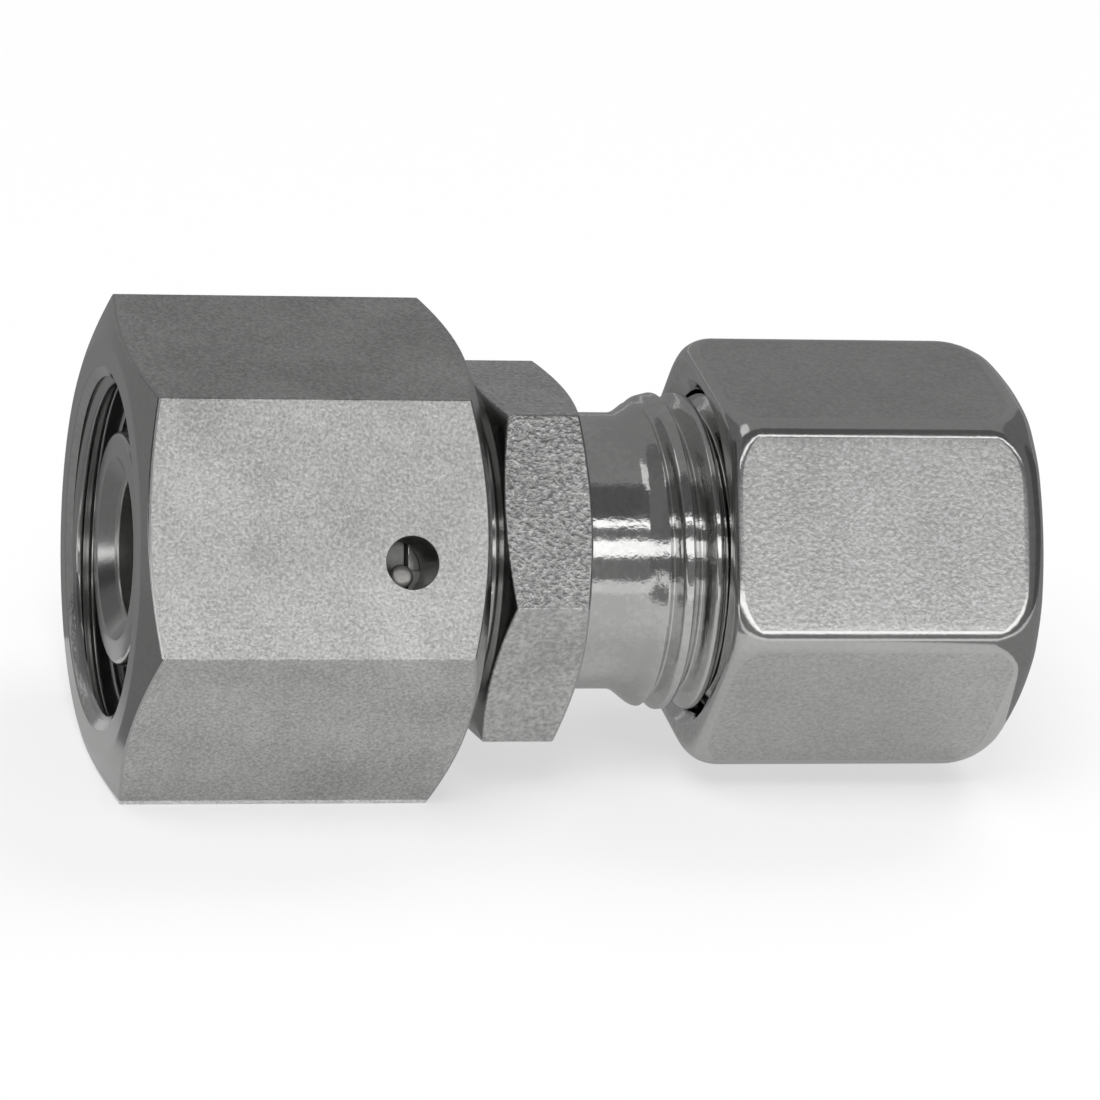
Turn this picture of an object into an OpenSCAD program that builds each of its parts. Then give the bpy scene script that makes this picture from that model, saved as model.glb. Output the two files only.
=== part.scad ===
// Straight reducing tube coupling: a wire-held swivel nut over an O-ring cone on
// the left, a compression nut and cutting ring for a smaller tube on the right.
// The axis runs along X. Z is up, and the larger nut lies on one of its flats.
// Lengths are in millimetres and angles in degrees.

/* [Shown node] */
// one sub-part, or all of them together

/* [Middle hexagon] */
// width across flats of the middle hexagon
hex_af = 17; // [14:0.5:22]
// length of the middle hexagon
hex_len = 4.55; // [3:0.05:9]
// turn of the middle hexagon against the two nuts
hex_turn = 7.8; // [-30:0.1:30]
// slope of the corner chamfers, measured from the end faces
hex_chamfer_slope = 17; // [10:1:35]
// how much smaller the circle on each end face is than the width across flats
hex_face_inset = 0.4; // [0:0.1:2]

/* [Bore] */
// diameter of the passage right through the body
passage_d = 7; // [4.9:0.1:8.5]
// diameter at the mouth of the passage in the tip
passage_mouth_d = 9.1; // [7.2:0.1:11]
// length of the countersink at the mouth of the passage
passage_mouth_len = 0.8; // [0.2:0.1:2]

/* [Cone end] */
// diameter of the flat tip of the cone
tip_d = 11.5; // [10:0.1:13]
// full angle of the sealing cones at both ends
cone_angle = 24; // [20:1:30]
// diameter of the shank that the swivel nut turns on
shank_d = 14.2; // [13:0.1:15.4]
// distance of the tip inside the mouth of the swivel nut
tip_inset = 0.8; // [0:0.1:3]
// distance from the tip to the middle of the O-ring groove
seal_groove_pos = 2.3; // [1.8:0.1:4]
// width of the O-ring groove
seal_groove_width = 1.9; // [1.6:0.1:2.6]
// diameter of the floor of the O-ring groove
seal_groove_d = 9.8; // [9.4:0.1:10.6]
// cord thickness of the O-ring
seal_cord = 1.5; // [1:0.1:2]
// play of the O-ring over the floor of its groove
seal_play = 0.02; // [0.01:0.01:0.1]

/* [Neck and outside thread] */
// diameter of the plain neck
neck_d = 13.9; // [11:0.1:14.1]
// length of the plain neck
neck_len = 3; // [1:0.1:6]
// outside diameter of the tube-end thread
tube_thread_d = 16; // [14:1:18]
// pitch of both threads
thread_pitch = 1.5; // [1:0.25:2]
// length of the cone where the outside thread runs out
runout_len = 1.3; // [0.5:0.1:2.5]
// length of the outside thread up to the end face
tube_thread_len = 11.8; // [9:0.1:16]
// length of the chamfer at the end of the outside thread
thread_chamfer_len = 0.7; // [0.4:0.1:1.5]
// depth of the chamfer at the end of the outside thread
thread_chamfer_depth = 0.9; // [0.4:0.1:1.1]

/* [Tube socket] */
// bore that takes the tube
socket_d = 10.1; // [9.6:0.1:10.6]
// length of the straight part of the socket
socket_len = 7; // [4:0.1:8]
// mouth diameter of the cone ahead of the socket
socket_mouth_d = 12.3; // [11.5:0.1:13]

/* [Swivel nut] */
// width across flats
swivel_af = 22; // [20:0.5:27]
// overall length
swivel_len = 17.5; // [15:0.1:22]
// gap between the nut and the middle hexagon
swivel_gap = 1.05; // [0.3:0.05:2]
// slope of the chamfer at the open end, from the end face
swivel_front_slope = 19; // [10:1:35]
// slope of the chamfer at the closed end, from the end face
swivel_rear_slope = 25; // [10:1:35]
// how much smaller the circle on both end faces is than the width across flats
swivel_face_inset = 1.4; // [0:0.1:3]
// length of the countersink at the mouth of the inside thread
swivel_mouth_len = 0.85; // [0.4:0.05:1.5]
// outside diameter of the inside thread
swivel_thread_d = 18; // [16:1:20]
// length of the inside thread
swivel_thread_len = 8.8; // [6:0.1:10]
// length of the undercut behind the inside thread
undercut_len = 1.6; // [1:0.1:3]
// length of the cone between undercut and shank bore
shoulder_len = 0.9; // [0.3:0.1:1.5]
// chamfer of the shank bore at the closed end
swivel_rear_chamfer = 0.5; // [0.2:0.1:1]
// radial play between the nut and the shank
swivel_play = 0.1; // [0.05:0.01:0.3]

/* [Retaining wire] */
// thickness of the wire
wire_d = 1.2; // [0.8:0.05:1.6]
// distance of the wire from the open end of the swivel nut
wire_pos = 13.3; // [12:0.1:14.5]
// play of the wire in the groove of the shank
wire_play = 0.1; // [0.05:0.01:0.3]
// play of the wire in the seat of the nut
wire_seat_play = 0.03; // [0.01:0.01:0.1]
// angle that the wire runs around the shank
wire_arc = 322; // [180:1:325]
// diameter of the hole that lets the wire in
wire_hole_d = 2.7; // [2.2:0.1:3.5]
// distance of that hole below the middle of its flat
wire_hole_drop = 1.6; // [0:0.1:2.5]
// thickness of the bent wire end
wire_end_d = 1.1; // [0.8:0.05:1.5]
// clearance of the bent wire end in its hole
wire_end_gap = 0.15; // [0.05:0.01:0.4]
// depth of the bent wire end below the flat
wire_end_depth = 1.1; // [0.3:0.1:2]

/* [Compression nut] */
// width across flats
tube_nut_af = 19; // [17:0.5:24]
// overall length
tube_nut_len = 16.2; // [14:0.1:20]
// metal taken off each of the six corners
corner_wear = 0.1; // [0.02:0.02:0.4]
// radius of the rounded corners at the thread end
tube_nut_round = 1.5; // [0.5:0.1:2.5]
// radius of the rounded corners at the tube end
tube_nut_end_round = 2.9; // [1:0.1:3.5]
// depth of the bevel that both ends of each flat have
tube_nut_bevel = 0.6; // [0.2:0.05:1]
// length of that bevel at the thread end
tube_nut_bevel_len = 0.45; // [0.2:0.05:1.5]
// length of that bevel at the tube end
tube_nut_end_bevel_len = 1.1; // [0.3:0.05:2]
// diameter of the hole for the tube
tube_hole_d = 10.3; // [10.2:0.1:11]
// length of the hole for the tube
tube_hole_len = 3; // [2:0.1:5]
// radial play between the nut and the outside thread
tube_nut_play = 0.12; // [0.05:0.01:0.3]
// depth of the countersink at the thread end
tube_nut_sink = 0.6; // [0.3:0.1:0.9]
// chamfer of the tube hole
tube_hole_chamfer = 0.4; // [0.2:0.1:1]

/* [Cutting ring] */
// bore of the ring
ring_bore_d = 10.15; // [10.1:0.05:10.5]
// diameter of the collar
ring_collar_d = 13.8; // [12.6:0.1:15]
// length of the collar
ring_collar_len = 1.86; // [0.8:0.02:3]
// diameter at the back, behind the seat
ring_rear_d = 11.2; // [10.8:0.1:12.4]
// distance that the lip reaches into the body
ring_reach = 3.4; // [2:0.1:4.5]
// gap between the body and the collar
ring_gap = 0.25; // [0.15:0.05:1]
// play of the ring against the cones of body and nut
ring_play = 0.1; // [0.05:0.01:0.3]

/* [Hidden] */

// axis height with the larger nut on one flat
axis_z = swivel_af / 2;
half_cone = cone_angle / 2;

// depth of the thread forms, from the pitch
outer_thread_depth = 0.6134 * thread_pitch;
inner_thread_depth = 0.5413 * thread_pitch;
inner_thread_r = swivel_thread_d / 2 - inner_thread_depth;

// stations along the axis, measured from the middle of the middle hexagon
hex_x0 = -hex_len / 2;
hex_x1 = hex_len / 2;
swivel_x1 = hex_x0 - swivel_gap;
swivel_x0 = swivel_x1 - swivel_len;
tip_x = swivel_x0 + tip_inset;
cone_x1 = tip_x + (shank_d - tip_d) / 2 / tan(half_cone);
wire_x = swivel_x0 + wire_pos;
neck_x1 = hex_x1 + neck_len;
thread_x0 = neck_x1 + runout_len;
body_x1 = thread_x0 + tube_thread_len;
socket_cone_len = (socket_mouth_d - socket_d) / 2 / tan(half_cone);
socket_x1 = body_x1 - socket_cone_len;
socket_x0 = socket_x1 - socket_len;

// the ring lies against the body, the seat of the nut against the ring
collar_x0 = body_x1 + ring_gap;
collar_x1 = collar_x0 + ring_collar_len;
seat_back = ring_play * sqrt(2);
hole_x0 = collar_x1 + (ring_collar_d - tube_hole_d) / 2 + seat_back;
tube_nut_x1 = hole_x0 + tube_hole_len;
tube_nut_x0 = tube_nut_x1 - tube_nut_len;

// the middle of the whole length, which stands over the origin
centre_x = (swivel_x0 + tube_nut_x1) / 2;

// radii shared by the pieces that fit together
shank_r = shank_d / 2;
swivel_bore_r = shank_r + swivel_play;
wire_ring_r = shank_r + swivel_play / 2;
wire_groove_r = wire_ring_r - wire_d / 2 - wire_play;
wire_seat_r = wire_ring_r + wire_d / 2 + wire_seat_play;
wire_groove_width = wire_d + 2 * wire_play;
tube_thread_r = tube_thread_d / 2;
nut_bore_r = tube_thread_r + tube_nut_play;

// the end of the wire, as seen along the flat with the hole in it
flat_up = 30;
wire_end_drop = wire_hole_drop + (wire_hole_d - wire_end_d) / 2 - wire_end_gap;
wire_end_angle = asin(wire_end_drop / wire_ring_r);

// how far cuts run past the face they start from
over = 1;

// a shape drawn about Z and laid along the axis of the coupling
module along_axis() {
    translate([-centre_x, 0, axis_z]) rotate([0, 90, 0]) children();
}

// a turned shape: each point is a radius and a station
module turned(points) {
    rotate_extrude($fn = 96) polygon(points);
}

// a plain round cut between two stations
module round_cut(r, x0, x1) {
    translate([0, 0, x0]) cylinder(r = r, h = x1 - x0, $fn = 96);
}

// a tapered round cut between two stations
module cone_cut(r0, r1, x0, x1) {
    translate([0, 0, x0]) cylinder(r1 = r0, r2 = r1, h = x1 - x0, $fn = 96);
}

// a hexagon bar with one pair of flats level
module hex_bar(af, x0, x1) {
    translate([0, 0, x0]) rotate([0, 0, 30])
        cylinder(d = af / cos(30), h = x1 - x0, $fn = 6);
}

// thread grooves as a row of V-shaped rings from one station to another
module thread_grooves(r_top, depth, x0, count, inward) {
    side = inward ? -1 : 1;
    land = thread_pitch / 8;
    floor_half = thread_pitch / 8;
    for (i = [0 : count - 1]) {
        xm = x0 + (i + 0.5) * thread_pitch;
        turned([[r_top + side * over, xm - thread_pitch / 2 + land / 2],
                [r_top, xm - thread_pitch / 2 + land / 2],
                [r_top - side * depth, xm - floor_half],
                [r_top - side * depth, xm + floor_half],
                [r_top, xm + thread_pitch / 2 - land / 2],
                [r_top + side * over, xm + thread_pitch / 2 - land / 2]]);
    }
}

// the middle hexagon with both of its ends chamfered
module middle_hexagon() {
    face_r = (hex_af - hex_face_inset) / 2;
    corner = hex_af / cos(30) / 2 + over;
    back = (corner - face_r) * tan(hex_chamfer_slope);
    intersection() {
        rotate([0, 0, -hex_turn]) hex_bar(hex_af, hex_x0, hex_x1);
        turned([[0, hex_x0], [face_r, hex_x0], [corner, hex_x0 + back],
                [corner, hex_x1 - back], [face_r, hex_x1], [0, hex_x1]]);
    }
}

// outside of the turned parts of the body, left and right of the hexagon
module body_outside() {
    turned([[0, tip_x], [tip_d / 2, tip_x], [shank_r, cone_x1],
            [shank_r, 0], [0, 0]]);
    turned([[0, 0], [neck_d / 2, 0], [neck_d / 2, neck_x1], [tube_thread_r, thread_x0],
            [tube_thread_r, body_x1 - thread_chamfer_len],
            [tube_thread_r - thread_chamfer_depth, body_x1], [0, body_x1]]);
}

module body() {
    cone_at_groove = tip_d / 2 + seal_groove_pos * tan(half_cone);
    grooves = floor((tube_thread_len - thread_chamfer_len) / thread_pitch);
    color([0.62, 0.62, 0.63])
    along_axis() difference() {
        union() {
            middle_hexagon();
            body_outside();
        }
        // passage with its countersink, then the socket and its cone
        round_cut(passage_d / 2, tip_x - over, socket_x0 + over);
        cone_cut(passage_mouth_d / 2, passage_d / 2, tip_x, tip_x + passage_mouth_len);
        round_cut(socket_d / 2, socket_x0, socket_x1 + over);
        cone_cut(socket_d / 2, socket_mouth_d / 2, socket_x1, body_x1);
        // groove for the O-ring
        turned([[seal_groove_d / 2, tip_x + seal_groove_pos - seal_groove_width / 2],
                [cone_at_groove + over, tip_x + seal_groove_pos - seal_groove_width / 2],
                [cone_at_groove + over, tip_x + seal_groove_pos + seal_groove_width / 2],
                [seal_groove_d / 2, tip_x + seal_groove_pos + seal_groove_width / 2]]);
        // groove for the retaining wire
        turned([[wire_groove_r, wire_x - wire_groove_width / 2],
                [shank_r + over, wire_x - wire_groove_width / 2],
                [shank_r + over, wire_x + wire_groove_width / 2],
                [wire_groove_r, wire_x + wire_groove_width / 2]]);
        thread_grooves(tube_thread_r, outer_thread_depth, thread_x0, grooves, false);
    }
}

module swivel_nut() {
    face_r = (swivel_af - swivel_face_inset) / 2;
    corner = swivel_af / cos(30) / 2 + over;
    front = (corner - face_r) * tan(swivel_front_slope);
    rear = (corner - face_r) * tan(swivel_rear_slope);
    thread_x1 = swivel_x0 + swivel_thread_len;
    undercut_x1 = thread_x1 + undercut_len;
    undercut_r = swivel_thread_d / 2;
    grooves = floor((swivel_thread_len - swivel_mouth_len) / thread_pitch);
    color([0.66, 0.66, 0.67])
    along_axis() difference() {
        intersection() {
            hex_bar(swivel_af, swivel_x0, swivel_x1);
            turned([[0, swivel_x0], [face_r, swivel_x0], [corner, swivel_x0 + front],
                    [corner, swivel_x1 - rear], [face_r, swivel_x1], [0, swivel_x1]]);
        }
        // mouth, inside thread, undercut and the bore that runs on the shank
        cone_cut(swivel_thread_d / 2, inner_thread_r, swivel_x0, swivel_x0 + swivel_mouth_len);
        round_cut(inner_thread_r, swivel_x0 - over, undercut_x1);
        thread_grooves(inner_thread_r, inner_thread_depth, swivel_x0 + swivel_mouth_len,
                       grooves, true);
        round_cut(undercut_r, thread_x1, undercut_x1);
        cone_cut(inner_thread_r, swivel_bore_r, undercut_x1, undercut_x1 + shoulder_len);
        round_cut(swivel_bore_r, undercut_x1, swivel_x1 + over);
        cone_cut(swivel_bore_r, swivel_bore_r + swivel_rear_chamfer,
                 swivel_x1 - swivel_rear_chamfer, swivel_x1);
        // seat for the retaining wire
        turned([[swivel_bore_r - over, wire_x - wire_groove_width / 2],
                [wire_seat_r, wire_x - wire_groove_width / 2],
                [wire_seat_r, wire_x + wire_groove_width / 2],
                [swivel_bore_r - over, wire_x + wire_groove_width / 2]]);
        // hole in the raised front flat where the wire goes in
        flat_frame() translate([0, -wire_hole_drop, 0])
            cylinder(d = wire_hole_d, h = swivel_af, $fn = 48);
    }
}

// the frame of the front flat of the swivel nut: X along it, Y up along it, Z out of it
module flat_frame() {
    rotate([0, 0, -90 - flat_up]) translate([0, 0, wire_x]) rotate([0, 90, 0])
        rotate([0, 0, 180]) children();
}

module retaining_wire() {
    color([0.55, 0.55, 0.56])
    along_axis() {
        // the ring of wire that lies half in each groove
        translate([0, 0, wire_x]) rotate([0, 0, -90 - flat_up])
            rotate([0, 0, wire_end_angle]) rotate_extrude(angle = wire_arc, $fn = 96)
                translate([wire_ring_r, 0]) circle(d = wire_d, $fn = 32);
        // its end, bent outward into the hole
        foot = wire_ring_r * cos(wire_end_angle) - wire_d / 4;
        flat_frame() translate([0, -wire_end_drop, foot])
            cylinder(d = wire_end_d, h = swivel_af / 2 - wire_end_depth - foot, $fn = 32);
    }
}

module o_ring() {
    color([0.08, 0.08, 0.09])
    along_axis() translate([0, 0, tip_x + seal_groove_pos])
        rotate_extrude($fn = 96)
            translate([(seal_groove_d + seal_cord) / 2 + seal_play, 0])
                circle(d = seal_cord, $fn = 32);
}

// a hexagon bar with a bevel along the end of every flat
module bevelled_hex(af, x0, x1, bevel, len0, len1) {
    hull() {
        hex_bar(af, x0 + len0, x1 - len1);
        hex_bar(af - 2 * bevel, x0, x1);
    }
}

// a bar whose two ends are rounded by quarter circles
module rounded_bar(r, x0, x1, round0, round1) {
    rotate_extrude($fn = 96) union() {
        translate([r - round0, x0 + round0]) circle(r = round0, $fn = 64);
        translate([r - round1, x1 - round1]) circle(r = round1, $fn = 64);
        polygon([[0, x0], [r - round0, x0], [r - round0, x0 + round0], [r, x0 + round0],
                 [r, x1 - round1], [r - round1, x1 - round1], [r - round1, x1], [0, x1]]);
    }
}

module tube_nut() {
    hole_r = tube_hole_d / 2;
    seat_x0 = hole_x0 - (nut_bore_r - hole_r);
    color([0.64, 0.64, 0.65])
    along_axis() difference() {
        intersection() {
            bevelled_hex(tube_nut_af, tube_nut_x0, tube_nut_x1, tube_nut_bevel,
                         tube_nut_bevel_len, tube_nut_end_bevel_len);
            rounded_bar(tube_nut_af / cos(30) / 2 - corner_wear, tube_nut_x0, tube_nut_x1,
                        tube_nut_round, tube_nut_end_round);
        }
        // countersink, thread bore, seat for the ring and hole for the tube
        cone_cut(nut_bore_r + tube_nut_sink, nut_bore_r, tube_nut_x0, tube_nut_x0 + tube_nut_sink);
        round_cut(nut_bore_r, tube_nut_x0 - over, seat_x0);
        cone_cut(nut_bore_r, hole_r, seat_x0, hole_x0);
        round_cut(hole_r, hole_x0 - over / 2, tube_nut_x1 + over);
        cone_cut(hole_r, hole_r + tube_hole_chamfer, tube_nut_x1 - tube_hole_chamfer, tube_nut_x1);
    }
}

module cutting_ring() {
    lip_x = body_x1 - ring_reach;
    lip_r = socket_mouth_d / 2 - ring_reach * tan(half_cone) - ring_play;
    neck_r = socket_mouth_d / 2 - ring_play;
    rear_x = collar_x1 + (ring_collar_d - ring_rear_d) / 2;
    color([0.6, 0.6, 0.6])
    along_axis() difference() {
        turned([[0, lip_x], [lip_r, lip_x], [neck_r, body_x1], [neck_r, collar_x0],
                [ring_collar_d / 2, collar_x0], [ring_collar_d / 2, collar_x1],
                [ring_rear_d / 2, rear_x], [0, rear_x]]);
        round_cut(ring_bore_d / 2, lip_x - over, rear_x + over);
    }
}

body();
swivel_nut();
retaining_wire();
o_ring();
tube_nut();
cutting_ring();
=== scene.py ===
"""Looks of a straight reducing tube coupling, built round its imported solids.

Every piece is modelled in millimetres along the axis of the coupling, with X as the
station and a radius from the axis, and is set into the shared frame in metres.
"""

import logging
import math
from dataclasses import dataclass, field
from enum import Enum, IntEnum
from functools import lru_cache
from typing import Callable, Sequence

import bmesh
import bpy
from mathutils import Matrix, Vector


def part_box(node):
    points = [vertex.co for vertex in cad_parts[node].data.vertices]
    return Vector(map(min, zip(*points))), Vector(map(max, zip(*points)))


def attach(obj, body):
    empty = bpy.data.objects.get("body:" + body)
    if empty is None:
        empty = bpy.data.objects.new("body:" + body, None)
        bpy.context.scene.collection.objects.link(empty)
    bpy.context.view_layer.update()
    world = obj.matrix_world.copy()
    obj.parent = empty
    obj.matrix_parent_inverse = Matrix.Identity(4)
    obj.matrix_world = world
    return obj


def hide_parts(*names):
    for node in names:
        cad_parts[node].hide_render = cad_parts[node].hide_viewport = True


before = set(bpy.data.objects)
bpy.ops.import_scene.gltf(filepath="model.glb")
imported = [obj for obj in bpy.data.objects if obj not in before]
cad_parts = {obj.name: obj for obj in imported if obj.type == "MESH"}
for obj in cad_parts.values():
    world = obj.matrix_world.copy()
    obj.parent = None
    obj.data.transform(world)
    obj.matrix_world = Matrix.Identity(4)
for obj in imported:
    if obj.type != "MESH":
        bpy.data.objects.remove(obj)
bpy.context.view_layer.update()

LOG = logging.getLogger("coupling")
MM = 0.001
# pitch of the threads in mm, and their depths as shares of it
PITCH = 1.5
OUTSIDE_DEPTH = 0.6134
INSIDE_DEPTH = 0.5413
# half of what one flat of a hexagon takes up round the axis, degrees
HALF_FLAT = 30.0
# how far the upper front flat of both nuts faces up, degrees
FRONT_FLAT = 30.0
# points nearer than WELD are joined and edges shorter than SLIVER go, metres
WELD = 2e-7
SLIVER = 1e-7
# columns round a piece that has no flats
ROUND_COLUMNS = 120
# rings of a wire's rounded end: share of its radius, and share of the way out
WIRE_CAP = ((0.98, 0.35), (0.88, 0.62), (0.68, 0.83), (0.4, 0.95))
# way out of that end as a share of the radius: short, as on cropped and tumbled wire
CAP_DEPTH = 0.35
# point that the lamps look at, metres
LAMP_AIM = Vector((0, 0, 0.01))
# degrees of a bent card that one of its faces takes up
CARD_STEP = 3
# no paint sends back more than this share of the light
BRIGHTEST_PAINT = 0.9

Row = tuple[float, float, int]
Section = Callable[[float], list[Row]]


@lru_cache(maxsize=None)
def node_box(node: str) -> tuple[Vector, Vector]:
    """Returns the lowest and highest corner of a CAD node, in metres."""
    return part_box(node)


def middle_station(node: str) -> float:
    """Returns the station of the middle of a CAD node, in mm."""
    low, high = node_box(node)
    return (low.x + high.x) / 2 / MM


class Slot(Enum):
    """The record's material slots."""

    BODY = "body_steel"
    SWIVEL = "swivel_nut_steel"
    TUBE_NUT = "tube_nut_steel"
    RING = "ring_steel"
    WIRE = "wire_steel"
    SEAL = "seal_rubber"


class ThreadSide(Enum):
    """Whether a thread stands on a rod or in a bore."""

    OUTSIDE = -1
    INSIDE = 1


class BarFinish(IntEnum):
    """Numbers of the finishes on a piece that is made from hexagon bar."""

    BAR = 0
    FACE = 1
    TURN = 2
    BORE = 3
    # painted shade on the shank beside the wire, where it shows through the wire's hole
    DRILL = 4


class NutFinish(IntEnum):
    """Numbers of the finishes on the tumbled compression nut."""

    FLAT = 0
    INNER = 1
    EDGE = 2


BAR, FACE, TURN, BORE, DRILL = BarFinish
FLAT, INNER, EDGE = NutFinish


# Outlines

@dataclass(frozen=True)
class Corner:
    """One corner of a turned outline.

    Args:
        x: station along the axis, mm.
        r: radius from the axis, mm.
        before: length that the rounding takes off the line before the corner, mm.
        after: length that it takes off the line after the corner, mm.
        finish: which of the piece's finishes starts here.
    """

    x: float
    r: float
    before: float = 0.0
    after: float = 0.0
    finish: int = 0


def rounded(corners: Sequence[Corner], steps: int = 4, most: float = 0.48) -> list[Row]:
    """Turns corners into rows of points, with each rounding drawn as an arc.

    Args:
        corners: the corners in order; the first and the last stay sharp.
        steps: how many short lines make one rounding.
        most: the largest share of a line that one rounding may take.

    Returns:
        The rows, always the same number of them for the same corners.
    """
    rows: list[Row] = []
    for i, c in enumerate(corners):
        if c.before <= 0 or i in (0, len(corners) - 1):
            rows.append((c.x, c.r, c.finish))
            continue
        here = Vector((c.x, c.r))
        back = Vector((corners[i - 1].x, corners[i - 1].r)) - here
        ahead = Vector((corners[i + 1].x, corners[i + 1].r)) - here
        a = back.normalized() * min(c.before, most * back.length)
        b = ahead.normalized() * min(c.after or c.before, most * ahead.length)
        for k in range(steps + 1):
            t = math.pi / 2 * k / steps
            p = here + a * (1 - math.sin(t)) + b * (1 - math.cos(t))
            rows.append((p.x, p.y, c.finish))
    return rows


def blend(a: float, b: float, width: float) -> float:
    """Returns the larger of two radii, with a rounding of a width in mm where they cross."""
    near = max(width - abs(a - b), 0.0) / width
    return max(a, b) + near * near * width / 4


@dataclass(frozen=True)
class HexShape:
    """The outline of a hexagon bar seen along the axis.

    Args:
        across_flats: width across flats, mm.
        corner_round: radius of its six long edges, mm.
        turn: turn of the flats against level, degrees.
    """

    across_flats: float
    corner_round: float
    turn: float = 0.0

    # columns near a corner, as shares of half the angle that its rounding takes up
    NEAR_CORNER = (1.6, 1, 0.62, 0.3, 0)

    def from_flat(self, angle: float) -> float:
        """Returns how far an angle in radians is from the middle of its flat, in degrees."""
        turned = math.degrees(angle) - 90 - self.turn + HALF_FLAT
        return abs(turned % (2 * HALF_FLAT) - HALF_FLAT)

    def radius(self, angle: float) -> float:
        """Works out the distance from the axis to the outline.

        Args:
            angle: the angle about the axis, radians.

        Returns:
            The distance, mm.
        """
        half, soft = self.across_flats / 2, self.corner_round
        away = self.from_flat(angle)
        if away <= self.soft_from():
            return half / math.cos(math.radians(away))
        centre = (half - soft) / math.cos(math.radians(HALF_FLAT))
        off = math.radians(HALF_FLAT - away)
        return centre * math.cos(off) + math.sqrt(soft ** 2 - (centre * math.sin(off)) ** 2)

    def soft_from(self) -> float:
        """Returns the angle from the middle of a flat where the rounding starts."""
        half, slope = self.across_flats / 2, math.tan(math.radians(HALF_FLAT))
        return math.degrees(math.atan((half - self.corner_round) * slope / half))

    def columns(self, step: float = 3.0) -> list[float]:
        """Lists the angles at which a mesh needs a column, closer at the corners.

        Args:
            step: angle between the columns on a flat, degrees.

        Returns:
            The angles from 0 to a full turn, radians.
        """
        spread = HALF_FLAT - self.soft_from()
        even = [step * k for k in range(int(HALF_FLAT / step))]
        offsets = {round(v, 4) for v in even if v < HALF_FLAT - spread * 2}
        offsets |= {round(HALF_FLAT - spread * share, 4) for share in self.NEAR_CORNER}
        signed = sorted(offsets | {-v for v in offsets if v not in (0, HALF_FLAT)})
        turns = sorted({round((90 + self.turn + 2 * HALF_FLAT * k + v) % 360, 4)
                        for k in range(6) for v in signed})
        # the seam has a column at both ends, so none from the list falls on it
        return [0.0, *(math.radians(t) for t in turns if t > 0.01), 2 * math.pi]


@dataclass(frozen=True)
class ThreadShape:
    """A right-hand thread, drawn as a true helix.

    Args:
        crest_r: radius over the crests, mm.
        depth: depth of the thread, mm.
        pitch: its pitch, mm.
        start: station where it starts, mm.
        end: station where it ends, mm.
        crest_at_top: station of a crest at the highest line of the part, mm.
        side: on a rod or in a bore.
        shallow: the two stations between which the tool sinks from none to full depth, mm.
        soft: width of the rounding where the thread meets what it was cut into, mm.
    """

    crest_r: float
    depth: float
    pitch: float
    start: float
    end: float
    crest_at_top: float
    side: ThreadSide
    shallow: tuple[float, float] = (-100.0, -99.0)
    soft: float = 0.1

    # share of the pitch, share of the depth, from the middle of a crest towards the root
    FORM = ((0, 0), (0.05, 0.0), (0.085, 0.015), (0.115, 0.055), (0.15, 0.13), (0.185, 0.23),
            (0.22, 0.33), (0.255, 0.43), (0.29, 0.53), (0.325, 0.63), (0.36, 0.73), (0.39, 0.81),
            (0.42, 0.89), (0.445, 0.94), (0.47, 0.975), (0.49, 0.985))

    def form(self) -> list[tuple[float, float]]:
        """Returns the form from one crest to just before the next."""
        return [*self.FORM, *((1 - u, d) for u, d in reversed(self.FORM[1:]))]

    def share(self, x: float, crest: float) -> float:
        """Works out how deep the thread is between two crests.

        Args:
            x: the station, mm.
            crest: the station of any crest at the same angle, mm.

        Returns:
            The share of the full depth.
        """
        u = ((x - crest) / self.pitch) % 1.0
        points = [*self.form(), (1.0, 0.0)]
        for (u0, d0), (u1, d1) in zip(points, points[1:]):
            if u <= u1:
                return d0 + (d1 - d0) * (u - u0) / (u1 - u0)
        return 0.0

    def rows(self, angle: float, limit: Callable[[float], float], finish: int) -> list[Row]:
        """Draws the thread at one angle, clamped between its two ends.

        Args:
            angle: the angle about the axis in radians, 90 degrees at the top.
            limit: the outline that the thread was cut into, as a radius by station.
            finish: number of the finish on it.

        Returns:
            The rows from its start to its end, always the same number of them.
        """
        # the top is a quarter of a turn on from angle 0
        first = self.crest_at_top - self.pitch / 4
        first -= self.pitch * math.ceil((first + self.pitch - self.start) / self.pitch)
        turns = math.ceil((self.end - first) / self.pitch)
        crest = first + self.pitch * angle / (2 * math.pi)
        rows: list[Row] = []
        for k in range(turns):
            for u, d in self.form():
                x = crest + (k + u) * self.pitch
                at = min(max(x, self.start), self.end)
                share = d if at == x else self.share(at, crest)
                grown = (at - self.shallow[0]) / (self.shallow[1] - self.shallow[0])
                share -= 1 - min(max(grown, 0.0), 1.0)
                r = self.crest_r + self.side.value * share * self.depth
                edge = limit(at)
                side = -self.side.value
                rows.append((at, -side * blend(-side * r, -side * edge, self.soft), finish))
        return rows


# Meshes

# height of the axis over the floor, mm
AXIS_HEIGHT = node_box("swivel_nut")[1].z / 2 / MM


def seat(x: float, r: float, angle: float) -> tuple[float, float, float]:
    """Returns the point of the shared frame, in metres, for a station, radius and angle."""
    return (x * MM, r * math.cos(angle) * MM, (AXIS_HEIGHT + r * math.sin(angle)) * MM)


def turn_steps(count: int) -> list[float]:
    """Returns the angles of one turn in even steps, with both of its ends, in radians."""
    return [2 * math.pi * k / count for k in range(count + 1)]


def finish_mesh(mesh: bpy.types.Mesh, sharp: float = 34.0) -> bpy.types.Mesh:
    """Shades a mesh smoothly, but for its sharp edges.

    Args:
        mesh: the mesh.
        sharp: edges sharper than this are shaded hard, degrees.

    Returns:
        The same mesh.
    """
    for face in mesh.polygons:
        face.use_smooth = True
    mesh.set_sharp_from_angle(angle=math.radians(sharp))
    return mesh


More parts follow.
